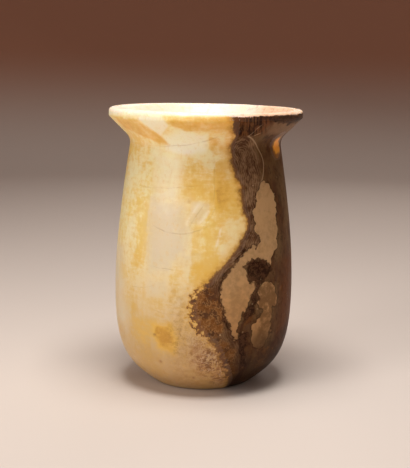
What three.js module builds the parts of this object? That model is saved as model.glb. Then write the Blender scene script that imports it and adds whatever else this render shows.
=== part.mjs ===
// Open jar turned and drilled from one block of banded calcite (Egyptian alabaster).
// Millimetres, +Z up. The origin is the centre of the flat spot that the jar stands on.

import * as THREE from 'three';

// Outside
const jarHeight = 240;
const footRadius = 40; // flat spot under the rounded base
const footRounding = 2.4; // softened edge of the flat spot
const baseSlope = 0.75; // rise for each millimetre outwards, where the base leaves the foot
const bellyRadius = 78;
const bellyHeight = 84; // height of the widest part of the body
const neckRadius = 65.4;
const neckHeight = 209.5;
const cavettoRadius = 12; // hollow curve from the neck out to the rim
const flareAngle = Math.PI / 4; // slope of the rim's underside and of the mouth
const rimRadius = 84;
const lipRounding = 3; // rounded outer corner of the lip
const mouthRounding = 1.5; // softened inner corner of the lip

// Inside
const rimFlatWidth = 5; // level ring on top of the lip
const boreRadius = 56; // narrowest part of the mouth
const boreHeight = 213;
const throatRadius = 10; // rounded turn from the mouth's slope down into the bore
const hollowRadius = 67;
const hollowHeight = 92; // height of the widest part of the hollow
const hollowFloor = 18; // thickness of the stone under the hollow

// Fineness of the facets
const turns = 64; // facets around the jar
const curveStep = 11; // length of a facet along a long curve
const arcSteps = 4; // least number of facets along a curve

const at = (radius, height) => new THREE.Vector2(radius, height);

// Outer wall, from the centre of the underside up to the neck
function outerWall() {
  const foot = new THREE.LineCurve(at(0, 0), at(footRadius, 0));
  const footEdge = new THREE.QuadraticBezierCurve(
    at(footRadius, 0),
    at(footRadius + footRounding, 0),
    at(footRadius + 2 * footRounding, footRounding * baseSlope),
  );
  const baseReach = 22; // how far the base keeps its slope before it turns up
  const base = new THREE.CubicBezierCurve(
    footEdge.v2,
    at(footEdge.v2.x + baseReach, footEdge.v2.y + baseReach * baseSlope),
    at(bellyRadius, 0.33 * bellyHeight),
    at(bellyRadius, bellyHeight),
  );
  const side = new THREE.CubicBezierCurve(
    at(bellyRadius, bellyHeight),
    at(bellyRadius, bellyHeight + 44),
    at(neckRadius + 5.5, neckHeight - 36),
    at(neckRadius, neckHeight),
  );
  return [foot, footEdge, base, side];
}

// Underside of the flare, the lip and the slope of the mouth
function rim() {
  const hollowCurve = new THREE.EllipseCurve(
    neckRadius + cavettoRadius,
    neckHeight,
    cavettoRadius,
    cavettoRadius,
    Math.PI,
    Math.PI - flareAngle,
    true,
  );
  const flareStart = hollowCurve.getPoint(1);
  const lipCorner = flareStart.y + (rimRadius - flareStart.x) / Math.tan(flareAngle);
  const cornerSetback = lipRounding * Math.tan(flareAngle / 2);
  const cornerStart = at(
    rimRadius - cornerSetback * Math.sin(flareAngle),
    lipCorner - cornerSetback * Math.cos(flareAngle),
  );
  const flare = new THREE.LineCurve(flareStart, cornerStart);
  const corner = new THREE.QuadraticBezierCurve(
    cornerStart,
    at(rimRadius, lipCorner),
    at(rimRadius, lipCorner + cornerSetback),
  );
  const edge = new THREE.LineCurve(corner.v2, at(rimRadius, jarHeight - lipRounding));
  const shoulder = new THREE.EllipseCurve(
    rimRadius - lipRounding,
    jarHeight - lipRounding,
    lipRounding,
    lipRounding,
    0,
    Math.PI / 2,
  );
  const flatInner = rimRadius - lipRounding - rimFlatWidth;
  const flat = new THREE.LineCurve(at(rimRadius - lipRounding, jarHeight), at(flatInner, jarHeight));
  const mouthEdge = new THREE.EllipseCurve(
    flatInner,
    jarHeight - mouthRounding,
    mouthRounding,
    mouthRounding,
    Math.PI / 2,
    Math.PI / 2 + flareAngle,
  );
  return [hollowCurve, flare, corner, edge, shoulder, flat, mouthEdge];
}

// Slope of the mouth, the bore and the hollow, down to the centre of the floor
function hollow(mouthTop) {
  const throat = new THREE.EllipseCurve(
    boreRadius + throatRadius,
    boreHeight,
    throatRadius,
    throatRadius,
    Math.PI - flareAngle,
    Math.PI,
  );
  const throatTop = throat.getPoint(0);
  const slope = new THREE.LineCurve(mouthTop, throatTop);
  const side = new THREE.CubicBezierCurve(
    at(boreRadius, boreHeight),
    at(boreRadius + 1, boreHeight - 32),
    at(hollowRadius, hollowHeight + 42),
    at(hollowRadius, hollowHeight),
  );
  const depth = hollowHeight - hollowFloor;
  const bowl = new THREE.CubicBezierCurve(
    at(hollowRadius, hollowHeight),
    at(hollowRadius, hollowHeight - 0.76 * depth),
    at(0.76 * hollowRadius, hollowFloor),
    at(0, hollowFloor),
  );
  return [slope, throat, side, bowl];
}

function facetPoints(curve) {
  const bySize = Math.round(curve.getLength() / curveStep);
  const steps = curve instanceof THREE.LineCurve ? 1 : Math.max(arcSteps, bySize);
  return curve.getPoints(steps);
}

// Points of the whole outline, without the doubled point where two curves meet
function outlinePoints(curves) {
  const points = curves.flatMap(facetPoints);
  const gap = 0.01;
  return points.filter((point, i) => i === 0 || point.distanceTo(points[i - 1]) > gap);
}

function jarGeometry() {
  const rimCurves = rim();
  const mouthTop = rimCurves.at(-1).getPoint(1);
  const outline = outlinePoints([...outerWall(), ...rimCurves, ...hollow(mouthTop)]);
  outline[0].x = 0;
  outline.at(-1).x = 0;
  return new THREE.LatheGeometry(outline, turns).rotateX(Math.PI / 2);
}

const alabaster = new THREE.MeshStandardMaterial({ color: 0xd9b776, roughness: 0.38, metalness: 0 });

const jar = new THREE.Mesh(jarGeometry(), alabaster);
jar.name = 'jar';

const part = new THREE.Group();
part.add(jar);

export default part;
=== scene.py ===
import math
import random

import bmesh
import bpy
import numpy as np
from mathutils import Matrix, Vector
from mathutils.geometry import interpolate_bezier


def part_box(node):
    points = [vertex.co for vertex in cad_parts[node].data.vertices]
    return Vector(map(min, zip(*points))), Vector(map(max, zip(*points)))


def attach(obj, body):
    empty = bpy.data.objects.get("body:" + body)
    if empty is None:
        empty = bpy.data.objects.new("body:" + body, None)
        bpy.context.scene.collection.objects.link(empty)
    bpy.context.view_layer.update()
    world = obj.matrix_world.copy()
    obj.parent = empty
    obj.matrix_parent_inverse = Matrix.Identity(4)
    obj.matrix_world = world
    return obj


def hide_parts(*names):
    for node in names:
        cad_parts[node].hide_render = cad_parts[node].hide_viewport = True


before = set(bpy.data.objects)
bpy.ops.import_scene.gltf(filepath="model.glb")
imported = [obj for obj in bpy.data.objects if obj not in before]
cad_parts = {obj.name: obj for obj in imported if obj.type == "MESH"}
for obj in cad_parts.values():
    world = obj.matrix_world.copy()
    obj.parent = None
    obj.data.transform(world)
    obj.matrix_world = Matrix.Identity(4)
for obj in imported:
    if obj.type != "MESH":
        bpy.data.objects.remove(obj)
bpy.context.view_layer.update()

# Sizes are millimetres here and become metres in the mesh.
# A place on the stone is (angle, height): degrees round from the front, -Y, towards +X,
# and millimetres above the foot.
mm = 0.001
jarLow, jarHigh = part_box("jar")
jarHeight = (jarHigh.z - jarLow.z) / mm
rimRadius = (jarHigh.x - jarLow.x) / 2 / mm

jarShape = {
    "footRadius": 40,
    "footRounding": 2.4,
    "baseSlope": 0.75,
    "baseReach": 22,
    "bellyRadius": 78,
    "bellyHeight": 84,
    "baseTurn": 0.33,  # how far up the belly the base's curve aims
    "bellyHandle": 44,  # reach of the side's curve up from the belly
    "neckRadius": 65.4,
    "neckHeight": 209.5,
    "neckHandle": (5.5, -36),  # and down from the neck
    "cavettoRadius": 12,
    "flareAngle": 45,
    "lipRounding": 3,
    "mouthRounding": 1.5,
    "rimFlatWidth": 5,
    "boreRadius": 56,
    "boreHeight": 213,
    "boreHandle": (1, -32),
    "throatRadius": 10,
    "hollowRadius": 67,
    "hollowHeight": 92,
    "hollowHandle": 42,
    "bowlFullness": 0.76,
    "floorThickness": 18,
    "turns": 300,
}

# Spacing of the rings along each stretch of the outline
ringStep = {"foot": 2.6, "wall": 1.4, "rim": 0.9, "slope": 1.5, "bore": 3.2, "bowl": 4.2}


def srgb(red, green, blue):
    def toLinear(value):
        share = value / 255
        return share / 12.92 if share <= 0.04045 else ((share + 0.055) / 1.055) ** 2.4

    return (toLinear(red), toLinear(green), toLinear(blue), 1)


def at(radius, height):
    return Vector((radius, 0, height))


def lineRun(start, end, step):
    count = max(2, round((end - start).length / step) + 1)
    return [start.lerp(end, i / (count - 1)) for i in range(count)]


def bezierRun(start, handleA, handleB, end, step):
    rough = interpolate_bezier(start, handleA, handleB, end, 40)
    length = sum((b - a).length for a, b in zip(rough, rough[1:]))
    return interpolate_bezier(start, handleA, handleB, end, max(3, round(length / step) + 1))


def arcRun(centre, radius, startDeg, endDeg, step):
    turn = math.radians(endDeg - startDeg)
    count = max(4, round(abs(turn) * radius / step) + 1)
    angles = [math.radians(startDeg) + turn * i / (count - 1) for i in range(count)]
    return [centre + at(radius * math.cos(a), radius * math.sin(a)) for a in angles]


# The jar's outline, from the centre of the foot round to the centre of the floor inside
def jarOutline(s):
    flare = math.radians(s["flareAngle"])
    foot, neck = at(s["footRadius"], 0), at(s["neckRadius"], s["neckHeight"])
    belly = at(s["bellyRadius"], s["bellyHeight"])
    footEnd = foot + at(2 * s["footRounding"], s["footRounding"] * s["baseSlope"])
    reach = at(s["baseReach"], s["baseReach"] * s["baseSlope"])
    wall = ringStep["wall"]
    points = lineRun(at(0, 0), foot, ringStep["foot"])
    points += bezierRun(foot, foot + at(s["footRounding"], 0), footEnd, footEnd, wall)
    baseTurn = at(s["bellyRadius"], s["baseTurn"] * s["bellyHeight"])
    points += bezierRun(footEnd, footEnd + reach, baseTurn, belly, wall)
    points += bezierRun(belly, belly + at(0, s["bellyHandle"]), neck + at(*s["neckHandle"]), neck, wall)

    # underside of the flare, lip and level ring
    rim = ringStep["rim"]
    cavetto = neck + at(s["cavettoRadius"], 0)
    hollowArc = arcRun(cavetto, s["cavettoRadius"], 180, 180 - s["flareAngle"], rim)
    flareStart = hollowArc[-1]
    corner = at(rimRadius, flareStart.z + (rimRadius - flareStart.x) / math.tan(flare))
    setback = s["lipRounding"] * math.tan(flare / 2)
    cornerStart = corner - at(setback * math.sin(flare), setback * math.cos(flare))
    cornerEnd = corner + at(0, setback)
    lip = at(rimRadius - s["lipRounding"], jarHeight - s["lipRounding"])
    flatInner = lip.x - s["rimFlatWidth"]
    points += hollowArc
    points += lineRun(flareStart, cornerStart, rim)
    points += bezierRun(cornerStart, corner, corner, cornerEnd, rim)
    points += lineRun(cornerEnd, at(rimRadius, lip.z), rim)
    points += arcRun(lip, s["lipRounding"], 0, 90, rim)
    points += lineRun(at(lip.x, jarHeight), at(flatInner, jarHeight), rim)
    mouth = at(flatInner, jarHeight - s["mouthRounding"])
    points += arcRun(mouth, s["mouthRounding"], 90, 90 + s["flareAngle"], rim)

    # slope of the mouth, bore and hollow
    throat = at(s["boreRadius"] + s["throatRadius"], s["boreHeight"])
    throatArc = arcRun(throat, s["throatRadius"], 180 - s["flareAngle"], 180, ringStep["slope"])
    bore, widest = at(s["boreRadius"], s["boreHeight"]), at(s["hollowRadius"], s["hollowHeight"])
    bottom = at(0, s["floorThickness"])
    depth = widest.z - bottom.z
    points += lineRun(points[-1], throatArc[0], ringStep["slope"])
    points += throatArc
    boreEnd, widestStart = bore + at(*s["boreHandle"]), widest + at(0, s["hollowHandle"])
    points += bezierRun(bore, boreEnd, widestStart, widest, ringStep["bore"])
    bowlSide = widest - at(0, s["bowlFullness"] * depth)
    bowlFloor = bottom + at(s["bowlFullness"] * widest.x, 0)
    points += bezierRun(widest, bowlSide, bowlFloor, bottom, ringStep["bowl"])
    closest = 0.2  # millimetres; points nearer than this are the joints of two stretches
    kept = [points[0]]
    for point in points[1:]:
        if (point - kept[-1]).length > closest:
            kept.append(point)
    return kept


def spinMesh(name, outline, turns):
    bm = bmesh.new()
    verts = [bm.verts.new(point) for point in outline]
    edges = [bm.edges.new(pair) for pair in zip(verts, verts[1:])]
    bmesh.ops.spin(
        bm, geom=verts + edges, cent=(0, 0, 0), axis=(0, 0, 1), angle=math.tau, steps=turns, use_merge=True
    )
    bmesh.ops.remove_doubles(bm, verts=bm.verts, dist=0.02 * mm)
    bmesh.ops.recalc_face_normals(bm, faces=bm.faces)
    mesh = bpy.data.meshes.new(name)
    bm.to_mesh(mesh)
    bm.free()
    mesh.shade_smooth()
    made = bpy.data.objects.new(name, mesh)
    bpy.context.scene.collection.objects.link(made)
    return made


def makeJar():
    outline = [point * mm for point in jarOutline(jarShape)]
    jar = spinMesh("alabasterJar", outline, jarShape["turns"])
    print("jar spun:", len(outline), "rings,", len(jar.data.polygons), "faces")
    return jar


# The stone's pattern, drawn as paths of (angle, height)
arcLength = math.radians(72)  # millimetres round the wall for each degree

veinPaths = {
    # where clear calcite meets the brown stone, from the rim down to the foot
    "brownFront": [
        (13, 246), (15, 233), (19.5, 221), (18, 209), (18.5, 198), (21, 190), (24.5, 182), (25, 172),
        (26, 160), (29, 149), (26, 139), (21, 129), (15, 121), (9, 110.5), (3, 103), (-4, 96),
        (-6.5, 88), (-6.5, 76), (-4, 63), (3, 54), (9, 46), (13, 34), (19, 20), (26, 6), (28, -6),
    ],
    "brownBack": [(150, 246), (146, 215), (152, 180), (141, 140), (150, 95), (139, 50), (146, -6)],
    # spine of the banded lobe beside the boundary
    "lobeSpine": [
        (27, 207), (31, 196), (30, 178), (30, 163), (33, 149), (28, 136), (17, 123), (8, 110),
        (4, 98), (3, 82), (6, 66), (11, 52), (18, 34), (24, 14),
    ],
    # thin pale vein round the head of the lobe
    "paleVein": [(28, 221), (34, 218), (41, 211), (45, 203), (46, 196), (44.5, 187), (41, 180), (37, 175)],
    # a clear window through the brown at the side of the neck
    "clearWindow": [(58, 214), (63, 219), (68, 219), (72, 214), (77, 209), (74, 203), (66, 201), (60, 204)],
}

tanIslands = [
    [  # tall upper island, narrowing to the lower left
        (40, 181), (45, 182), (50, 178), (54, 170), (56, 160), (54, 151), (56, 142), (54, 131), (51, 121),
        (46, 112), (41, 117), (34, 119), (26, 115), (20, 116), (24, 123), (31, 127), (36, 130),
        (37, 136), (34, 142), (36, 150), (33, 155), (35, 163), (36, 174),
    ],
    [  # lower left island, ending in a point
        (24, 121), (27, 112), (28, 104), (33, 100), (35, 96), (32, 91), (30, 83), (26, 76), (23, 70),
        (22, 62), (23, 55), (21, 48), (18, 57), (17, 66), (13, 73), (13, 81), (10, 88), (10.5, 98),
        (14, 107), (18, 115),
    ],
    [  # lower right island
        (35, 96), (40, 99), (46, 99), (50, 94), (54, 82), (49, 76), (47, 66), (46, 56), (45, 46),
        (40, 38), (34, 44), (31, 56), (33, 66), (39, 74), (36, 79), (33, 86),
    ],
]

darkStone = {
    "lump": [
        (27, 117), (33, 120), (40, 119), (45, 114), (49, 109), (46, 103), (41, 101), (38, 96),
        (36, 98), (32, 103), (29.5, 97), (28, 104),
    ],
    "lip": [(30, 239), (86, 239), (88, 230), (70, 231), (55, 229), (44, 232), (33, 235)],
}

# dark streaks: half width in millimetres, then the path
darkStreaks = [
    (1.8, [(37, 99), (33, 90), (31, 80), (27, 72), (24, 63), (23.5, 54), (24, 44), (28, 32), (31, 20)]),
    (4.2, [(33, 88), (32, 82), (29, 74)]),
    (3.4, [(27, 56), (25, 44), (29, 30), (32, 12)]),
    (0.7, [(26, 128), (20, 120), (12.5, 108), (9, 98), (9, 88), (12, 78), (12, 72), (16, 64), (17, 52)]),
]

# patches of tone in the clear stone: amount, softness of the edge in millimetres, path
amberPatches = [
    (0.75, 2.0, [(-66, 233), (-43, 233.5), (-31, 219), (-26, 212), (-36, 213), (-50, 218), (-66, 224)]),
    (0.50, 12, [(-95, 224), (-46, 220), (-40, 212), (-41, 192), (-64, 186), (-95, 192)]),
    (0.80, 3.0, [
        (-21, 235), (-8, 236.5), (4, 237), (15, 238), (18, 224), (4, 225.5), (-8, 224), (-19, 226),
    ]),
    (0.50, 3.5, [(2, 221), (18, 219), (20, 204), (2.5, 204)]),
    (0.45, 9, [(-16, 202), (8, 205), (8, 168), (-2, 170), (-14, 172), (-18, 182)]),
    (0.65, 7, [(5, 203), (18, 205), (22, 180), (24, 160), (25, 142), (18, 126), (8, 136), (6, 170)]),
    (0.45, 9, [(-58, 128), (-44, 122), (-38, 108), (-44, 101), (-58, 106)]),
    (0.30, 3.0, [(-52, 66), (-34, 66), (-31, 58), (-32, 46), (-42, 42), (-54, 46)]),
    (1.20, 8, [(-33, 64), (-20, 66), (-16, 52), (-19, 38), (-31, 42)]),
    (0.40, 4, [(-10, 118), (-1, 118), (1, 103), (-10, 100)]),
    (0.25, 8, [(-26, 96), (-8, 98), (-8, 70), (-24, 70)]),
]
palePatches = [
    (0.90, 1.4, [(-41, 234), (-31, 219.5), (-22, 229), (-25, 238), (-39, 238)]),
    (0.95, 5, [(-30, 221), (-12, 224), (1.5, 223), (1.5, 207), (-14, 204), (-30, 208)]),
    (0.50, 8, [(-40, 208), (-14, 204), (-16, 172), (-20, 164), (-40, 164)]),
    (0.75, 12, [(-39, 170), (-12, 168), (-9, 148), (-10, 114), (-38, 106)]),
    (0.35, 2.0, [(-8, 146), (-1, 148), (-1, 118), (-8, 118)]),
    (0.50, 3.0, [(-9, 168), (-4, 169), (1, 167), (6, 167), (3, 158), (-2, 150), (-12, 148)]),
    (0.70, 9, [(-88, 126), (-62, 124), (-61, 84), (-54, 68), (-58, 54), (-88, 56)]),
    (0.50, 6, [(-38, 101), (-24, 101), (-26, 88), (-38, 86)]),
    (0.40, 7, [(-46, 82), (-34, 82), (-32, 70), (-44, 68)]),
    (0.85, 2.4, [(-110, 239), (-26, 240), (12, 240), (12, 238.5), (-22, 238), (-42, 235), (-110, 233)]),
]
russetPatches = [
    (0.80, 9, [(-8, 60), (2, 56), (10, 46), (18, 28), (14, 14), (-2, 18), (-10, 34)]),
    (0.35, 12, [(-18, 92), (-8, 92), (-8, 60), (-14, 30), (-4, 10), (-20, 12)]),
    (0.95, 7, [(7, 46), (16, 40), (26, 14), (18, 4), (7, 12)]),
]
# redder and more golden places in the brown stone
rustPatches = [
    (0.8, 4, [(15, 239), (19, 239), (23, 222), (20, 220)]),
    (0.8, 9, [(58, 116), (84, 122), (84, 34), (52, 34), (54, 66)]),
    (0.7, 4, [(25, 77), (33, 78), (33, 68), (25, 62)]),
    (0.5, 5, [(22, 192), (28, 192), (29, 142), (24, 146)]),
]
goldPatches = [
    (1.0, 6, [(-12, 97), (4, 100), (12, 84), (13, 62), (2, 52), (-12, 58)]),
    (0.6, 6, [(8, 56), (21, 50), (28, 20), (16, 10), (6, 30)]),
    (0.5, 6, [(34, 48), (44, 44), (58, 42), (58, 24), (40, 20)]),
]
# soft darker places in the brown stone: the first is darker stone up the right side, the other two are
# painted shade low on the right and by the foot
shadePatches = [
    (0.45, 8, [(57, 196), (68, 196), (65, 120), (62, 56), (53, 56), (57, 120)]),
    (0.65, 9, [(40, 44), (75, 64), (90, 44), (70, 8), (36, 8)]),
    (0.85, 6, [(24, 34), (35, 34), (38, 6), (22, 6)]),
]

# Panes with one crisp upright edge and a crisp top: tone (pale below 0), angle of the edge, height of
# the top, reach in millimetres (below 0 to the left of the edge), drop
panes = [
    (-0.6, -40, 172, 30, 66),
    (-1.4, 1.6, 222, -34, 17),
    (1.2, 1.6, 221, 13, 17),
    (0.9, 6, 200, 17, 44),
    (-0.5, -7.5, 146, -26, 42),
    (0.6, -7.5, 146, 13, 40),
    (-0.6, -62, 150, 20, 50),
    (0.6, -55, 128, 18, 30),
    (0.9, -31, 62, 13, 20),
    (-0.6, -26, 101, 14, 18),
]


def roundedPath(path, closed, rounds=2):
    for _ in range(rounds):  # each round cuts the corners
        ends = path + path[:1] if closed else path
        cut = [] if closed else [path[0]]
        for (a, b), (c, d) in zip(ends, ends[1:]):
            cut += [(0.75 * a + 0.25 * c, 0.75 * b + 0.25 * d), (0.25 * a + 0.75 * c, 0.25 * b + 0.75 * d)]
        path = cut if closed else cut + [path[-1]]
    return path


# Millimetres to a path, or below 0 on its right-hand side where signed
def distanceTo(path, angle, height, closed=False, rounds=2, signed=False):
    path = roundedPath(path, closed, rounds)
    ends = path + path[:1] if closed else path
    across, up = angle * arcLength, height
    nearest, side = np.full(angle.shape, 1e6), np.ones(angle.shape)
    for (a, b), (c, d) in zip(ends, ends[1:]):
        startX, startY, runX, runY = a * arcLength, b, (c - a) * arcLength, d - b
        share = ((across - startX) * runX + (up - startY) * runY) / (runX**2 + runY**2 + 1e-9)
        share = np.clip(share, 0, 1)
        offX, offY = across - startX - share * runX, up - startY - share * runY
        away = np.hypot(offX, offY)
        side = np.where(away < nearest, np.sign(runX * offY - runY * offX), side)
        nearest = np.minimum(nearest, away)
    return nearest * side if signed else nearest


# Millimetres inside a closed path, negative outside it
def depthInside(path, angle, height, rounds=2):
    rounded = roundedPath(path, True, rounds)
    inside = np.zeros(angle.shape, bool)
    for (a, b), (c, d) in zip(rounded, rounded[1:] + rounded[:1]):
        crosses = (b > height) != (d > height)
        inside ^= crosses & (angle < (c - a) * (height - b) / (d - b + 1e-9) + a)
    distance = distanceTo(path, angle, height, True, rounds)
    return np.where(inside, distance, -distance)


# Smooth step from low to high
def smooth(value, low, high):
    share = np.clip((value - low) / (high - low), 0, 1)
    return share * share * (3 - 2 * share)


def patchField(patches, angle, height):
    total = np.zeros(angle.shape)
    for amount, softness, path in patches:
        reach = softness + 1
        low, high = np.min(path, axis=0) - reach, np.max(path, axis=0) + reach
        near = (angle > low[0]) & (angle < high[0]) & (height > low[1]) & (height < high[1])
        depth = depthInside(path, angle[near], height[near], 0)
        total[near] = np.maximum(total[near], amount * smooth(depth, -softness, softness))
    return total


# Upright blocks of slightly different tone, with crisp left and top edges, as calcite cleaves
cleavage = {
    "count": 130,
    "reach": (7, 32),
    "drop": (8, 60),
    "crisp": 0.9,
    "soft": 10,
    "lean": 0.1,
    "waver": 1.1,  # how far the crisp edges wander
    "topSlope": 0.25,
    "topWaves": (4.3, 1.9),  # millimetres along the top edge for each radian of its two waves
    "sideWave": 6.1,
}


def paneShape(angle, height, edgeAngle, top, reach, drop, lean=0):
    s = cleavage
    down = top - height
    across = ((angle - edgeAngle + 180) % 360 - 180) * arcLength + lean * down
    across = across if reach > 0 else -across
    longWave, shortWave = s["topWaves"]
    topWaver = np.sin(across / longWave + top) + np.sin(across / shortWave + edgeAngle)
    belowTop = down + s["waver"] * topWaver + s["topSlope"] * across
    across += s["waver"] * np.sin(down / s["sideWave"] + edgeAngle)
    width = smooth(across, 0, s["crisp"]) * smooth(abs(reach) - across, 0, s["soft"])
    return width * smooth(belowTop, 0, 2 * s["crisp"]) * smooth(drop - down, 0, s["soft"])


def cleavageField(angle, height):
    rng = random.Random(21)
    total = sum(tone * paneShape(angle, height, *pane) for tone, *pane in panes)
    for _ in range(cleavage["count"]):
        edgeAngle, top, tone = rng.uniform(-180, 180), rng.uniform(0, jarHeight), rng.uniform(-1, 1)
        reach, drop = rng.uniform(*cleavage["reach"]), rng.uniform(*cleavage["drop"])
        total += tone * paneShape(angle, height, edgeAngle, top, reach, drop, cleavage["lean"])
    return total


def stoneFields(angle, height):
    front, back = veinPaths["brownFront"], veinPaths["brownBack"]
    frontHere = np.interp(height, [h for _, h in front[::-1]], [a for a, _ in front[::-1]])
    backHere = np.interp(height, [h for _, h in back[::-1]], [a for a, _ in back[::-1]])
    edge = np.minimum(distanceTo(front, angle, height), distanceTo(back, angle, height))
    inBrown = (angle > frontHere) & (angle < backHere)
    edge = np.where(inBrown, edge, -edge)
    glowingWindow = depthInside(veinPaths["clearWindow"], angle, height)
    island = np.max([depthInside(path, angle, height) for path in tanIslands], axis=0)
    dark = np.max([depthInside(path, angle, height) for path in darkStone.values()], axis=0)
    for halfWidth, path in darkStreaks:
        dark = np.maximum(dark, halfWidth - distanceTo(path, angle, height))
    return {
        "brownEdge": np.minimum(edge, -glowingWindow),
        "windowDepth": glowingWindow,
        "tanDepth": island,
        "darkDepth": np.clip(dark, -20, 20),
        "lobeAway": distanceTo(veinPaths["lobeSpine"], angle, height),
        "paleVein": distanceTo(veinPaths["paleVein"], angle, height, signed=True),
        "shade": patchField(shadePatches, angle, height),
        "amber": patchField(amberPatches, angle, height),
        "pale": patchField(palePatches, angle, height),
        "russet": patchField(russetPatches, angle, height),
        "rust": patchField(rustPatches, angle, height),
        "gold": patchField(goldPatches, angle, height),
        "block": cleavageField(angle, height),
        "turn": angle,
    }


# Relief worked into the surface: hand finish, wear, chips and pits
relief = {
    "wave": 0.22 / 3,  # height of each of the waves left by finishing the wall by hand
    "waveCount": 9,
    "waveLobes": (1, 6),
    "waveRise": 0.06,
    "brownWear": 0.12,  # the brown stone is worn a little lower
    "pitCount": 70,
    "pitSize": (1.3, 2.4),
    "pitDepth": 0.8,
    "pitShare": (0.15, 0.45),  # of that depth, for a pit that isn't a deep one
    "drillRing": 0.16,
    "drillPitch": 5.5,
    "drillTop": 205,
    "drillCore": 20,  # no rings inside this radius
    "drilledTop": 228,  # the stone is rough and dusty inside, below this height
    "lightTilt": (-0.35, 0.75),  # upward tilt of the surface where the painted highlight starts, and where it is full
    "lightHeight": (209, 221),
}
deepPits = [(-32, 54), (-7, 16), (-30, 30)]
deepPitSize = 1.7
# chips on the lip: angle, radius of the chip, depth
lipChips = [
    (-84, 5, 0.9), (-47, 3.5, 0.5), (-12, 4, 0.5), (21, 5, 0.8), (38, 4, 0.6), (49, 6, 1.0), (63, 7, 1.2),
    (74, 5, 1.0), (101, 6, 1.1), (139, 4, 0.6), (-165, 8, 1.5), (-121, 4, 0.6), (176, 4, 0.5),
]
chipCut = {"inset": 0.9, "outward": 0.75, "upward": (0.35, 0.9)}


def addRelief(coords, normals, fields, angle, height, radius, inside):
    rng = random.Random(7)
    move = np.zeros(len(coords))
    turn = np.radians(angle)
    for _ in range(relief["waveCount"]):
        lobes = rng.randint(*relief["waveLobes"])
        rise, phase = rng.uniform(-relief["waveRise"], relief["waveRise"]), rng.uniform(0, math.tau)
        move += relief["wave"] * np.sin(lobes * turn + rise * height + phase)
    move -= relief["brownWear"] * np.clip(fields["brownEdge"], -1, 1)
    rings = np.sin(height / relief["drillPitch"] * math.tau + 0.6 * np.sin(turn * 2))
    ringed = inside & (height < relief["drillTop"]) & (radius > relief["drillCore"])
    move += np.where(ringed, relief["drillRing"] * rings, 0)

    # pits, most of them in the brown stone
    pits = [(*place, deepPitSize, 1.0) for place in deepPits]
    for i in range(relief["pitCount"]):
        pitAngle = rng.uniform(-180, 0) if i % 5 == 0 else rng.uniform(-8, 150)
        pitHeight, size = rng.uniform(8, 236), rng.uniform(*relief["pitSize"])
        pits.append((pitAngle, pitHeight, size, rng.uniform(*relief["pitShare"])))
    hollowed = np.zeros(len(coords))
    for pitAngle, pitHeight, size, share in pits:
        away = np.hypot((angle - pitAngle) * arcLength, height - pitHeight) / size
        hollowed += share * np.exp(-(away**2)) * ~inside
    move -= relief["pitDepth"] * hollowed
    fields["pit"] = hollowed

    foot = (height < 1) & (radius < jarShape["footRadius"])
    move = np.where(foot, 0, move)  # the foot stays level
    coords += normals * (move * mm)[:, None]

    # each chip is a small flat facet cut off the outer edge of the lip
    inset = chipCut["inset"]
    for chipAngle, size, depth in lipChips:
        a = math.radians(chipAngle)
        outward = np.array((math.sin(a), -math.cos(a), 0))
        cut = outward * chipCut["outward"] + np.array((0, 0, rng.uniform(*chipCut["upward"])))
        cut /= np.linalg.norm(cut)
        corner = outward * (rimRadius - inset) * mm + np.array((0, 0, (jarHeight - inset) * mm))
        fromCorner = coords - corner
        near = np.linalg.norm(fromCorner, axis=1) < size * mm
        above = fromCorner @ cut + depth * mm
        coords -= np.where(near & (above > 0), above, 0)[:, None] * cut
    return coords


def finishJarMesh(jar):
    mesh = jar.data
    count = len(mesh.vertices)
    coords, normals = np.empty(count * 3, np.float32), np.empty(count * 3, np.float32)
    mesh.vertices.foreach_get("co", coords)
    mesh.vertex_normals.foreach_get("vector", normals)
    coords, normals = coords.reshape(-1, 3).astype(float), normals.reshape(-1, 3).astype(float)
    radius = np.hypot(coords[:, 0], coords[:, 1]) / mm
    height = coords[:, 2] / mm
    angle = np.degrees(np.arctan2(coords[:, 0], -coords[:, 1]))
    facing = normals[:, 0] * coords[:, 0] + normals[:, 1] * coords[:, 1]
    onFloor = (normals[:, 2] > 0.9) & (height < jarShape["hollowHeight"])
    inside = (facing < 0) | onFloor
    fields = stoneFields(angle, height)
    coords = addRelief(coords, normals, fields, angle, height, radius, inside)
    mesh.vertices.foreach_set("co", coords.astype(np.float32).ravel())
    fields["inside"] = np.where(inside & (height < relief["drilledTop"]), 1.0, 0.0)
    # painted highlight: the upward-facing level ring and slope of the mouth are painted pale
    upwards = smooth(normals[:, 2], *relief["lightTilt"])
    fields["mouthLight"] = upwards * smooth(height, *relief["lightHeight"])
    for name, values in fields.items():
        mesh.attributes.new(name, "FLOAT", "POINT").data.foreach_set("value", values.astype(np.float32))
    mesh.update()
    print("relief and pattern fields done")


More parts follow.
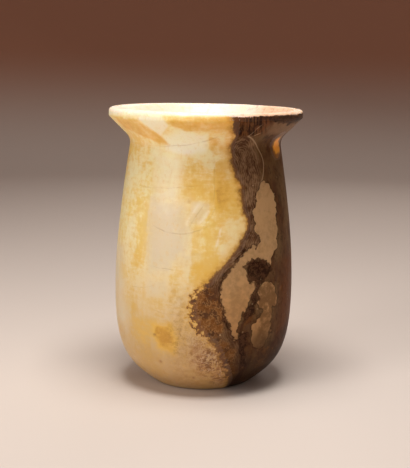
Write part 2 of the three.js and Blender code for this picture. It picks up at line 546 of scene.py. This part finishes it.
# Short ways to add and join nodes in one node tree
class Tree:
    def __init__(self, tree):
        self.tree = tree

    def add(self, kind, **settings):
        made = self.tree.nodes.new(kind)
        for name, value in settings.items():
            setattr(made, name, value)
        return made

    def feed(self, socket, value):
        if isinstance(value, bpy.types.NodeSocket):
            self.tree.links.new(value, socket)
        elif value is not None:
            socket.default_value = value
        return socket

    def calc(self, operation, a, b=None, c=None, clamp=False):
        made = self.add("ShaderNodeMath", operation=operation, use_clamp=clamp)
        for socket, value in zip(made.inputs, (a, b, c)):
            self.feed(socket, value)
        return made.outputs[0]

    def vector(self, operation, a, b=None):
        made = self.add("ShaderNodeVectorMath", operation=operation)
        self.feed(made.inputs[0], a)
        self.feed(made.inputs[1], b)
        return made.outputs["Value" if operation in ("LENGTH", "DOT_PRODUCT") else "Vector"]

    def field(self, name):
        return self.add("ShaderNodeAttribute", attribute_name=name).outputs["Fac"]

    def noise(self, where, scale, detail=3, roughness=0.5, distortion=0):
        made = self.add("ShaderNodeTexNoise")
        self.feed(made.inputs["Vector"], where)
        for name, value in (
            ("Scale", scale), ("Detail", detail), ("Roughness", roughness), ("Distortion", distortion)
        ):
            made.inputs[name].default_value = value
        return made.outputs["Fac"]

    def cells(self, where, scale, output="Distance", feature="F1"):
        made = self.add("ShaderNodeTexVoronoi", feature=feature)
        self.feed(made.inputs["Vector"], where)
        made.inputs["Scale"].default_value = scale
        return made.outputs[output]

    # smooth step from low to high
    def ease(self, value, low, high, outLow=0.0, outHigh=1.0):
        made = self.add("ShaderNodeMapRange", interpolation_type="SMOOTHSTEP")
        for socket, part in zip(made.inputs, (value, low, high, outLow, outHigh)):
            self.feed(socket, part)
        return made.outputs[0]

    def mix(self, factor, a, b, blend="MIX"):
        made = self.add("ShaderNodeMix", data_type="RGBA", blend_type=blend, clamp_factor=True)
        self.feed(made.inputs["Factor"], factor)
        colours = [i for i in made.inputs if i.type == "RGBA"]
        self.feed(colours[0], a)
        self.feed(colours[1], b)
        return next(o for o in made.outputs if o.type == "RGBA")

    # value + amount x (wander - 0.5)
    def sway(self, value, wander, amount):
        return self.calc("MULTIPLY_ADD", self.calc("SUBTRACT", wander, 0.5), amount, value)

    # a wave from 0 to 1
    def wave(self, value):
        return self.calc("MULTIPLY_ADD", self.calc("SINE", value), 0.5, 0.5)

    def product(self, *values):
        total = values[0]
        for value in values[1:]:
            total = self.calc("MULTIPLY", total, value, clamp=True)
        return total

    def stretch(self, where, scale=(1, 1, 1), turn=(0, 0, 0)):
        made = self.add("ShaderNodeMapping")
        self.feed(made.inputs["Vector"], where)
        made.inputs["Scale"].default_value = scale
        made.inputs["Rotation"].default_value = turn
        return made.outputs[0]

    def place(self):
        return self.add("ShaderNodeTexCoord").outputs["Object"]


def newGroup(name, inputs, outputs):
    group = bpy.data.node_groups.new(name, "ShaderNodeTree")
    for socketName, kind, value in inputs:
        made = group.interface.new_socket(socketName, in_out="INPUT", socket_type=kind)
        if value is not None:
            made.default_value = value
    for socketName, kind in outputs:
        group.interface.new_socket(socketName, in_out="OUTPUT", socket_type=kind)
    tree = Tree(group)
    return group, tree, tree.add("NodeGroupInput").outputs, tree.add("NodeGroupOutput").inputs


number, place3, colour = "NodeSocketFloat", "NodeSocketVector", "NodeSocketColor"


# A crack follows part of a big sphere through the stone, so it shows as a curved line
def makeCrackGroup():
    group, t, given, out = newGroup(
        "crackLine",
        [("Centre", place3, None), ("Radius", number, 0.05), ("Middle", place3, None),
         ("Half Length", number, 0.02), ("Width", number, 0.0004)],
        [("Line", number)],
    )
    where = t.place()
    wobble = t.sway(0, t.noise(where, 90, 4), 3 * mm)
    away = t.vector("LENGTH", t.vector("SUBTRACT", where, given["Centre"]))
    off = t.calc("ABSOLUTE", t.calc("ADD", t.calc("SUBTRACT", away, given["Radius"]), wobble))
    line = t.calc("SUBTRACT", 1, t.calc("DIVIDE", off, given["Width"]), clamp=True)
    reach = t.vector("LENGTH", t.vector("SUBTRACT", where, given["Middle"]))
    fade = t.calc("SUBTRACT", 1, t.calc("DIVIDE", reach, given["Half Length"]), clamp=True)
    fade = t.calc("MULTIPLY", fade, 2.5, clamp=True)
    broken = t.ease(t.noise(where, 150, 2), 0.36, 0.58, 0.25, 1)
    t.feed(out["Line"], t.product(line, fade, broken))
    return group


stoneColours = {
    "cream": srgb(248, 234, 188),
    "honey": srgb(240, 210, 124),
    "amber": srgb(232, 191, 90),
    "pearl": srgb(252, 241, 218),
    "ash": srgb(226, 211, 180),
    "deepAmber": srgb(198, 143, 56),
    "lowShadeTan": srgb(194, 152, 96),
    "russet": srgb(168, 116, 67),
    "rust": srgb(108, 60, 22),
    "gold": srgb(134, 88, 44),
    "goldLight": srgb(172, 128, 78),
    "brown": srgb(102, 68, 37),
    "olive": srgb(124, 98, 64),
    "bandLight": srgb(152, 120, 88),
    "bandDark": srgb(86, 56, 36),
    "rimTan": srgb(120, 72, 36),
    "tan": srgb(190, 153, 108),
    "tanWarm": srgb(198, 152, 101),
    "darkest": srgb(36, 15, 5),
    "mouthLitPale": srgb(240, 217, 200),
    "mouthLitTan": srgb(224, 188, 158),
    "crack": srgb(168, 130, 74),
    "scratch": srgb(196, 166, 128),
    "glint": srgb(214, 184, 142),
    # painted glow of light shining through the clear window
    "glowingWindow": srgb(252, 182, 58),
}

cracks = [
    # where its middle is, tilt in degrees, then bend radius, half length and half width in millimetres
    {"at": (-10, 214), "tilt": 12, "bend": 150, "half": 32, "width": 0.8},
    {"at": (-16, 141), "tilt": 2, "bend": 52, "half": 28, "width": 0.8},
    {"at": (-24, 111), "tilt": -3, "bend": 120, "half": 14, "width": 0.6},
    {"at": (6, 184), "tilt": 89, "bend": 400, "half": 20, "width": 0.5},
    {"at": (-30, 177), "tilt": 3, "bend": 200, "half": 34, "width": 0.5},
    {"at": (-5, 157), "tilt": 60, "bend": 500, "half": 12, "width": 0.5},
    {"at": (3, 155), "tilt": 58, "bend": 500, "half": 12, "width": 0.5},
    {"at": (-42, 92), "tilt": 8, "bend": 70, "half": 18, "width": 0.6},
    {"at": (-27, 74), "tilt": -8, "bend": 60, "half": 14, "width": 0.6},
    {"at": (-98, 150), "tilt": 70, "bend": 160, "half": 40, "width": 0.6},
    {"at": (-150, 120), "tilt": 25, "bend": 90, "half": 44, "width": 0.6},
]

brightFlaws = [
    {"at": (-7.5, 158), "tilt": 60, "bend": 500, "half": 13, "width": 2.6},
    {"at": (0.5, 157), "tilt": 58, "bend": 500, "half": 13, "width": 2.6},
    {"at": (9, 138), "tilt": 72, "bend": 300, "half": 12, "width": 1.6},
]

# pale scratches across the brown underside of the rim
scratches = [
    {"at": (31.5, 225), "tilt": 55, "bend": 200, "half": 9, "width": 0.6},
    {"at": (34, 221.5), "tilt": 26, "bend": 100, "half": 6, "width": 0.5},
]


def outerRadius(height):
    outline = [p for p in jarOutline(jarShape) if p.x > 0]
    return min(outline, key=lambda p: abs(p.z - height) - 0.01 * p.x).x


def crackPlaces(crack):
    angle, height = math.radians(crack["at"][0]), crack["at"][1]
    tilt, radius = math.radians(crack["tilt"]), outerRadius(crack["at"][1])
    middle = Vector((radius * math.sin(angle), -radius * math.cos(angle), height))
    across = Vector((math.cos(angle), math.sin(angle), 0))
    side = across * -math.sin(tilt) + Vector((0, 0, math.cos(tilt)))
    return (middle + side * crack["bend"]) * mm, middle * mm


# The strongest of a list of cracks
def drawMarks(t, crackGroup, marks):
    most = None
    for mark in marks:
        centre, middle = crackPlaces(mark)
        made = t.add("ShaderNodeGroup", node_tree=crackGroup)
        made.inputs["Centre"].default_value = centre
        made.inputs["Middle"].default_value = middle
        made.inputs["Radius"].default_value = mark["bend"] * mm
        made.inputs["Half Length"].default_value = mark["half"] * mm
        made.inputs["Width"].default_value = mark["width"] * mm
        line = made.outputs["Line"]
        most = line if most is None else t.calc("MAXIMUM", most, line)
    return most


# Noises and places that both kinds of stone use
def sharedParts(t):
    where = t.place()
    parts = t.add("ShaderNodeSeparateXYZ")
    t.feed(parts.inputs[0], where)
    shared = {
        "where": where,
        "high": t.calc("DIVIDE", parts.outputs["Z"], mm),  # millimetres above the foot
        "coarse": t.noise(where, 13, 2),
        "middle": t.noise(where, 48, 4),
        "clouds": t.noise(t.stretch(where, (1, 1, 0.7)), 34, 5, 0.62),
        "fine": t.noise(where, 230, 5, 0.62),
        "grain": t.noise(where, 900, 3, 0.6),
        "scallop": t.calc("SUBTRACT", 1.03, t.cells(where, 150)),
        "curls": t.calc("ABSOLUTE", t.calc("SUBTRACT", t.noise(where, 130, 3, 0.6), 0.5)),
    }
    # the meeting of the two stones is broken into spots beside the golden places
    edge = ragged(t, shared, t.field("brownEdge"), 8, 4.5, 1.5, 2)
    spots = t.calc("SUBTRACT", t.noise(where, 260, 3, 0.6), 0.5)
    shared["edge"] = t.calc("MULTIPLY_ADD", t.calc("MULTIPLY", spots, t.field("gold")), 34, edge)
    return shared


# A distance field with an uneven, lobed edge; the amounts are millimetres
def ragged(t, shared, value, *amounts):
    for name, amount in zip(("middle", "fine", "grain", "scallop"), amounts):
        value = t.sway(value, shared[name], amount)
    return value


def clearStone(t, shared):
    c = stoneColours
    where, high, clouds, fine = (shared[name] for name in ("where", "high", "clouds", "fine"))
    block = t.field("block")
    level = t.noise(t.stretch(where, (0.2, 0.2, 1)), 420, 3, 0.6)
    upright = t.noise(t.stretch(where, (1, 1, 0.12)), 260, 3, 0.6)
    tone = t.calc("MULTIPLY_ADD", block, 0.12, t.calc("MULTIPLY", shared["coarse"], 0.4))
    tone = t.calc("MULTIPLY_ADD", clouds, 0.6, tone)
    tone = t.sway(t.sway(t.sway(tone, level, 0.3), upright, 0.2), fine, 0.5)
    stone = t.mix(t.ease(tone, 0.34, 0.66), c["cream"], c["honey"])
    # painted shade: the clear stone is painted darker tan towards the foot
    stone = t.mix(t.ease(high, 160, 0, 0, 0.85), stone, c["lowShadeTan"])

    pale = t.sway(t.sway(t.field("pale"), clouds, 1.0), level, 0.35)
    pale = t.sway(t.calc("MULTIPLY_ADD", block, -0.17, pale), fine, 0.45)
    # painted highlight: the pale patches are pale stone, painted brighter pearl towards the top and under
    # the rim
    paleTone = t.mix(t.ease(t.sway(high, clouds, 80), 200, 155), c["pearl"], c["ash"])
    stone = t.mix(t.ease(pale, 0.05, 1.0, 0, 0.95), stone, paleTone)
    amber = t.sway(t.sway(t.field("amber"), clouds, 1.2), level, 0.4)
    amber = t.sway(t.calc("MULTIPLY_ADD", block, 0.2, amber), fine, 0.6)
    stone = t.mix(t.ease(amber, 0.05, 1.05), stone, c["amber"])
    stone = t.mix(t.ease(amber, 0.75, 1.25, 0, 0.7), stone, c["deepAmber"])
    flecks = t.ease(t.noise(t.stretch(where, (1, 1, 0.6)), 420, 2, 0.5), 0.54, 0.74, 0, 0.25)
    stone = t.mix(flecks, stone, c["amber"])

    # amber, then rust, gather where the clear stone meets the brown; the amber is partly a painted glow of
    # light through the wall
    edge = shared["edge"]
    nearBrown = t.ease(t.sway(edge, clouds, 9), -12, -1, 0, t.ease(high, 40, 80, 0.2, 0.75))
    stone = t.mix(nearBrown, stone, c["amber"])
    mottle = t.ease(t.sway(fine, shared["grain"], 0.5), 0.34, 0.6, 0.3, 1)
    russet = t.field("russet")
    stone = t.mix(t.product(russet, mottle), stone, c["russet"])
    spots = t.ease(t.sway(t.sway(clouds, fine, 0.8), shared["grain"], 0.5), 0.52, 0.68)
    stone = t.mix(t.product(spots, russet, 0.8), stone, c["rust"])
    stone = t.mix(t.product(t.ease(shared["curls"], 0.03, 0.008), russet, 0.2), stone, c["pearl"])
    stone = t.mix(t.ease(t.sway(edge, fine, 6), -5, -0.5, 0, 0.65), stone, c["deepAmber"])
    stone = t.mix(t.ease(t.sway(edge, fine, 5), -1.8, 1.2, 0, 0.8), stone, c["rust"])

    # amber window at the neck, painted bright as a glow of light through the stone, darker towards its edge
    glowingWindow = t.field("windowDepth")
    stone = t.mix(t.ease(glowingWindow, -3, 0), stone, c["glowingWindow"])
    windowEdge = t.product(t.ease(glowingWindow, -3, 0), t.ease(t.sway(glowingWindow, fine, 9), 4, 0.5, 0, 0.8))
    return t.mix(windowEdge, stone, c["rust"])


def brownGround(t, shared, rustAmount):
    c = stoneColours
    where, clouds, fine, grain = (shared[name] for name in ("where", "clouds", "fine", "grain"))
    upright = t.noise(t.stretch(where, (1, 1, 0.25)), 300, 4, 0.65)
    stone = t.mix(t.ease(upright, 0.36, 0.62), c["brown"], c["bandDark"])
    stone = t.mix(t.ease(clouds, 0.42, 0.62, 0, 0.7), stone, c["olive"])
    stone = t.mix(rustAmount, stone, c["rust"])
    stone = t.mix(t.ease(t.sway(fine, grain, 0.7), 0.55, 0.74, 0, 0.5), stone, c["darkest"])
    # darker stone on the right, and painted shade low down and by the foot
    shade = t.sway(t.sway(t.field("shade"), clouds, 0.8), fine, 0.8)
    return t.mix(t.ease(shade, 0.1, 1.1, 0, 0.9), stone, c["darkest"])


# Wavering bands round the lobe and beside the islands
def addLobeBands(t, shared, stone):
    c = stoneColours
    high, fine = shared["high"], shared["fine"]
    lobe = t.field("lobeAway")
    swirl = t.noise(shared["where"], 85, 2, 0.5)
    bands = t.wave(t.sway(t.sway(t.calc("MULTIPLY", lobe, 3.2), swirl, 26), fine, 6))
    bands = t.sway(t.sway(t.calc("MULTIPLY", bands, 0.5), fine, 3), shared["clouds"], 2.2)
    banded = t.mix(t.calc("ADD", bands, 0.15, clamp=True), c["bandDark"], c["bandLight"])
    most = t.ease(high, 90, 125, 0.5, 0.9)
    return t.mix(t.ease(t.sway(lobe, shared["middle"], 12), 18, 11, 0, most), stone, banded)


# Golden mottled stone with light curls and rusty spots, and a golden margin beside the clear stone
def addGold(t, shared, stone):
    c = stoneColours
    where, fine, grain = shared["where"], shared["fine"], shared["grain"]
    gold = t.mix(t.ease(t.sway(t.noise(where, 140, 3), grain, 0.5), 0.42, 0.62), c["gold"], c["bandDark"])
    gold = t.mix(t.ease(shared["curls"], 0.035, 0.008, 0, 0.6), gold, c["goldLight"])
    gold = t.mix(t.ease(t.noise(where, 240, 2), 0.56, 0.66, 0, 0.6), gold, c["rust"])
    goldAmount = t.sway(t.sway(t.field("gold"), shared["clouds"], 1.6), fine, 1.2)
    stone = t.mix(t.ease(goldAmount, 0.25, 0.8, 0, 0.9), stone, gold)
    return t.mix(t.ease(t.sway(shared["edge"], fine, 5), 3.5, 0, 0, 0.6), stone, c["gold"])


# Brown part of the rim: fine upright streaks, then smoother tan
def addRimBrown(t, shared, stone, rustAmount):
    c = stoneColours
    middle, fine = shared["middle"], shared["fine"]
    turn = t.field("turn")
    streaks = t.noise(t.stretch(shared["where"], (1, 0.15, 0.08)), 520, 3, 0.65)
    onRim = t.ease(t.sway(shared["high"], middle, 10), 219, 223.5)
    rimBase = t.mix(t.ease(t.sway(fine, middle, 0.8), 0.35, 0.65), c["rimTan"], c["brown"])
    rimBase = t.mix(t.ease(t.sway(turn, fine, 16), 36, 46, 0, 0.65), rimBase, c["bandLight"])
    stone = t.mix(t.calc("MULTIPLY", onRim, t.ease(rustAmount, 0.9, 0.3, 0.2, 0.85)), stone, rimBase)
    streaked = t.product(t.ease(turn, 17, 22), t.ease(turn, 46, 32, 0.1, 0.9), onRim)
    return t.mix(t.product(t.ease(streaks, 0.42, 0.56), streaked), stone, c["darkest"])


# Pale curved vein round the head of the lobe, and scratches above it
def addPaleLines(t, shared, stone, crackGroup):
    c = stoneColours
    vein = t.calc("ABSOLUTE", t.sway(t.field("paleVein"), shared["middle"], 2))
    ends = t.product(t.ease(shared["high"], 174, 182), t.ease(t.field("turn"), 27, 30))
    stone = t.mix(t.calc("MULTIPLY", t.product(t.ease(vein, 0.9, 0.2), ends), 0.6), stone, c["scratch"])
    return t.mix(t.calc("MULTIPLY", drawMarks(t, crackGroup, scratches), 0.8), stone, c["scratch"])


# Tan islands with a thin dark outline
def addIslands(t, shared, stone):
    c = stoneColours
    high, middle, fine, clouds = (shared[name] for name in ("high", "middle", "fine", "clouds"))
    island = ragged(t, shared, t.field("tanDepth"), 5, 4, 2, 7)
    stone = t.mix(t.ease(island, -2.0, -0.3, 0, 0.55), stone, c["darkest"])
    tan = t.mix(t.ease(t.sway(high, middle, 40), 125, 70), c["tan"], c["tanWarm"])
    tan = t.mix(t.ease(t.sway(fine, clouds, 1.2), 0.35, 0.75, 0, 0.45), tan, c["olive"])
    stain = t.ease(t.sway(clouds, fine, 0.8), 0.36, 0.64, 0.1, 0.65)
    tan = t.mix(t.ease(t.field("turn"), 32, 38, 0, t.ease(high, 105, 95, 0, stain)), tan, c["brown"])
    tanAmount = t.ease(island, -0.5, 0.5, 0, t.ease(t.sway(high, fine, 30), 38, 70, 0.3, 1))
    return t.mix(tanAmount, stone, tan), island, tanAmount


def brownStone(t, shared, crackGroup):
    c = stoneColours
    where, high, fine, grain = (shared[name] for name in ("where", "high", "fine", "grain"))
    rustAmount = t.sway(t.sway(t.field("rust"), shared["clouds"], 1.4), fine, 0.9)
    rustAmount = t.ease(rustAmount, 0.2, 0.95, 0, 0.85)
    stone = brownGround(t, shared, rustAmount)
    stone = addLobeBands(t, shared, stone)
    stone = addGold(t, shared, stone)
    stone = addRimBrown(t, shared, stone, rustAmount)
    stone = addPaleLines(t, shared, stone, crackGroup)
    stone, island, tanAmount = addIslands(t, shared, stone)

    # the darkest stone, between the islands and under the lip; then painted shade, darker down by the foot
    dark = ragged(t, shared, t.field("darkDepth"), 5, 7, 3, 4)
    darkAmount = t.ease(dark, -0.8, 0.8, 0, 0.9)
    darkMottle = t.ease(t.sway(fine, grain, 0.8), 0.42, 0.64)
    stone = t.mix(darkAmount, stone, t.mix(darkMottle, c["darkest"], c["bandDark"]))
    # painted shade: the brown stone is painted darker towards the foot
    stone = t.mix(t.ease(high, 60, 8, 0, 0.8), stone, c["darkest"])

    # small pale specks, more of them in the darkest stone, partly pale grains and partly painted glints
    specks = t.ease(t.cells(where, 330), 0.3, 0.14)
    chosen = t.calc("MULTIPLY_ADD", darkAmount, 0.1, t.cells(where, 330, "Color"))
    spread = t.product(t.ease(t.field("turn"), 48, 18, 0.2, 0.8), t.ease(tanAmount, 0.3, 0))
    speckAmount = t.product(specks, t.ease(chosen, 0.82, 0.95), spread)
    stone = t.mix(t.product(speckAmount, t.ease(high, 200, 180)), stone, c["glint"])
    return stone, island, darkAmount, speckAmount


def makeStoneGroup(crackGroup):
    group, t, given, out = newGroup(
        "bandedStone",
        [("Dust", number, 0.0)],
        [("Colour", colour), ("Roughness", number), ("Height", number)],
    )
    c = stoneColours
    shared = sharedParts(t)
    fine, grain = shared["fine"], shared["grain"]
    calcite = clearStone(t, shared)
    crackAmount = t.product(drawMarks(t, crackGroup, cracks), t.ease(shared["edge"], 0, -1))
    calcite = t.mix(t.calc("MULTIPLY", crackAmount, 0.28), calcite, c["crack"])
    calcite = t.mix(t.calc("MULTIPLY", drawMarks(t, crackGroup, brightFlaws), 0.65), calcite, c["pearl"])
    brown, island, darkAmount, speckAmount = brownStone(t, shared, crackGroup)
    blur = t.ease(shared["high"], 60, 35, 1.2, 6)  # the meeting is softer near the foot
    inBrown = t.ease(shared["edge"], t.calc("MULTIPLY", blur, -1), blur)

    # painted highlight: the mouth and the top of the lip are painted pale, less so over the darkest stone
    paintedLight = t.sway(t.sway(t.field("mouthLight"), fine, 1.6), grain, 0.8)
    litBrown = t.mix(t.ease(t.field("brownEdge"), 0, 24), c["mouthLitPale"], c["mouthLitTan"])
    litBrown = t.mix(t.ease(t.sway(fine, grain, 0.6), 0.5, 0.7, 0, 0.35), litBrown, c["rimTan"])
    litLip = t.calc("MULTIPLY_ADD", darkAmount, -0.45, paintedLight)
    brown = t.mix(t.ease(litLip, 0.36, 0.6, 0, 0.93), brown, litBrown)
    litCalcite = t.mix(t.ease(t.sway(fine, grain, 0.6), 0.5, 0.75, 0, 0.5), c["mouthLitPale"], c["honey"])
    calcite = t.mix(t.ease(paintedLight, 0.25, 0.8, 0, 0.9), calcite, litCalcite)

    stone = t.mix(inBrown, calcite, brown)
    stone = t.mix(t.ease(t.field("pit"), 0.1, 1, 0, 0.7), stone, c["russet"])
    dusty = t.calc("MULTIPLY", given["Dust"], t.ease(fine, 0.3, 0.7, 0.4, 1))
    stone = t.mix(dusty, stone, c["tan"])
    t.feed(out["Colour"], stone)

    roughness = t.calc("MULTIPLY_ADD", fine, 0.22, 0.26)
    roughness = t.calc("MULTIPLY_ADD", inBrown, 0.08, roughness)
    roughness = t.calc("MULTIPLY_ADD", t.ease(island, -0.3, 0.3), 0.06, roughness)
    roughness = t.calc("MULTIPLY_ADD", given["Dust"], 0.3, roughness)
    t.feed(out["Roughness"], roughness)

    lumps = t.calc("MULTIPLY_ADD", grain, 0.22, t.calc("MULTIPLY", fine, 0.5))
    lumps = t.calc("MULTIPLY_ADD", crackAmount, -0.5, lumps)
    lumps = t.calc("MULTIPLY_ADD", t.product(speckAmount, inBrown), 0.35, lumps)
    lumps = t.calc("MULTIPLY_ADD", t.product(darkAmount, inBrown), -0.4, lumps)
    t.feed(out["Height"], lumps)
    return group


def stoneMaterial(name, stoneGroup, s):
    material = bpy.data.materials.new(name)
    material.use_nodes = True
    tree = material.node_tree
    shader = tree.nodes["Principled BSDF"]
    t = Tree(tree)
    stone = t.add("ShaderNodeGroup", node_tree=stoneGroup)
    stone.inputs["Dust"].default_value = s["dust"]
    bump = t.add("ShaderNodeBump")
    bump.inputs["Strength"].default_value = s["bump"]
    bump.inputs["Distance"].default_value = 0.5 * mm
    t.feed(bump.inputs["Height"], stone.outputs["Height"])
    t.feed(shader.inputs["Base Color"], stone.outputs["Colour"])
    t.feed(shader.inputs["Roughness"], stone.outputs["Roughness"])
    t.feed(shader.inputs["Normal"], bump.outputs["Normal"])
    shader.inputs["IOR"].default_value = 1.5
    shader.inputs["Specular IOR Level"].default_value = s["gloss"]
    shader.inputs["Subsurface Weight"].default_value = s["glow"]
    shader.inputs["Subsurface Radius"].default_value = (1, 0.84, 0.55)
    shader.inputs["Subsurface Scale"].default_value = s["reach"] * mm
    return material


stoneFinish = {
    "polishedAlabaster": {"dust": 0.0, "bump": 0.5, "gloss": 0.36, "glow": 0.8, "reach": 12},
    "drilledAlabaster": {"dust": 0.25, "bump": 0.9, "gloss": 0.25, "glow": 0.8, "reach": 12},
    "polishedBrownStone": {"dust": 0.0, "bump": 0.6, "gloss": 0.05, "glow": 0.5, "reach": 5},
}


def dressJar(jar):
    stoneGroup = makeStoneGroup(makeCrackGroup())
    for name, settings in stoneFinish.items():
        jar.data.materials.append(stoneMaterial(name, stoneGroup, settings))
    mesh = jar.data
    fields = {}
    for name in ("inside", "brownEdge", "mouthLight"):
        fields[name] = np.empty(len(mesh.vertices), np.float32)
        mesh.attributes[name].data.foreach_get("value", fields[name])
    drilled = fields["inside"] > 0.5
    deepBrown = (fields["brownEdge"] > 3) & (fields["mouthLight"] < 0.1)
    order = list(stoneFinish)
    for face in mesh.polygons:
        corners = list(face.vertices)
        finish = "polishedAlabaster"
        if drilled[corners].all():
            finish = "drilledAlabaster"
        elif deepBrown[corners].all():
            finish = "polishedBrownStone"
        face.material_index = order.index(finish)
    print("stone materials done")


# Studio, in metres: pale floor that sweeps up into a round wall, soft lights, camera
studio = {
    "sweepRadius": 2.4,
    "sweepHeight": 2.4,
    "sweepCorner": 0.8,
    "sweepStep": 0.1,
    "sweepTurns": 64,
    "floorColour": srgb(206, 194, 184),
    "wallColour": srgb(172, 124, 100),
    "worldColour": srgb(158, 124, 104),
    "worldStrength": 0.3,
}

# name: where it stands, what it aims at, width, height, watts, colour
softLights = {
    "topLight": ((0.0, -0.2, 1.15), (0, 0.02, 0.2), 0.5, 0.5, 13.5, (1, 0.985, 0.975)),
    "frontLight": ((-0.9, -0.8, 0.62), (0, 0, 0.19), 0.45, 0.9, 7.0, (1, 0.975, 0.95)),
    "fillLight": ((0.5, -1.25, 0.75), (0, 0, 0.19), 0.8, 0.5, 2.0, (1, 0.95, 0.9)),
    "backLight": ((0.5, 1.3, 1.1), (0, 0, 0.15), 1.2, 0.6, 5, (1, 0.97, 0.94)),
}

shot = {
    "lens": 83.85,
    "distance": 0.9495,
    "height": 0.2883,
    "aside": 0.0005,
    "pitch": 9.51,
    "roll": 0.83,
}


def floorPaint():
    paint = bpy.data.materials.new("floorPaint")
    paint.use_nodes = True
    t = Tree(paint.node_tree)
    shader = paint.node_tree.nodes["Principled BSDF"]
    parts = t.add("ShaderNodeSeparateXYZ")
    t.feed(parts.inputs[0], t.place())
    wall = t.ease(parts.outputs["Z"], 0.01, 0.3)
    t.feed(shader.inputs["Base Color"], t.mix(wall, studio["floorColour"], studio["wallColour"]))
    shader.inputs["Roughness"].default_value = 0.8
    shader.inputs["Specular IOR Level"].default_value = 0.2
    return paint


def buildStudio():
    radius, corner = studio["sweepRadius"], studio["sweepCorner"]
    curve = arcRun(at(radius - corner, corner), corner, -90, 0, studio["sweepStep"])
    outline = [at(0, 0), *curve, at(radius, studio["sweepHeight"])]
    floor = spinMesh("studioFloor", outline, studio["sweepTurns"])
    floor.data.flip_normals()
    floor.data.materials.append(floorPaint())

    world = bpy.data.worlds.new("studioWorld")
    world.use_nodes = True
    background = world.node_tree.nodes["Background"]
    background.inputs["Color"].default_value = studio["worldColour"]
    background.inputs["Strength"].default_value = studio["worldStrength"]
    bpy.context.scene.world = world

    for name, (stand, aim, width, tall, watts, tint) in softLights.items():
        lamp = bpy.data.lights.new(name, "AREA")
        lamp.shape, lamp.size, lamp.size_y = "RECTANGLE", width, tall
        lamp.energy, lamp.color = watts, tint
        made = bpy.data.objects.new(name, lamp)
        made.location = stand
        made.visible_camera = False
        made.rotation_euler = (Vector(aim) - Vector(stand)).to_track_quat("-Z", "Y").to_euler()
        bpy.context.scene.collection.objects.link(made)
    print("studio done")


def placeCamera():
    lens = bpy.data.cameras.new("studioCamera")
    lens.lens = shot["lens"]
    lens.clip_start = 0.01
    camera = bpy.data.objects.new("studioCamera", lens)
    tipped = Matrix.Rotation(math.radians(90 - shot["pitch"]), 4, "X")
    rolled = Matrix.Rotation(math.radians(shot["roll"]), 4, "Z")
    camera.matrix_world = (
        Matrix.Translation((shot["aside"], -shot["distance"], shot["height"])) @ tipped @ rolled
    )
    bpy.context.scene.collection.objects.link(camera)
    bpy.context.scene.camera = camera
    bpy.context.scene.view_settings.view_transform = "Standard"
    print("camera placed")


buildStudio()
placeCamera()
jar = makeJar()
finishJarMesh(jar)
dressJar(jar)
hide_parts("jar")
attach(jar, "root")
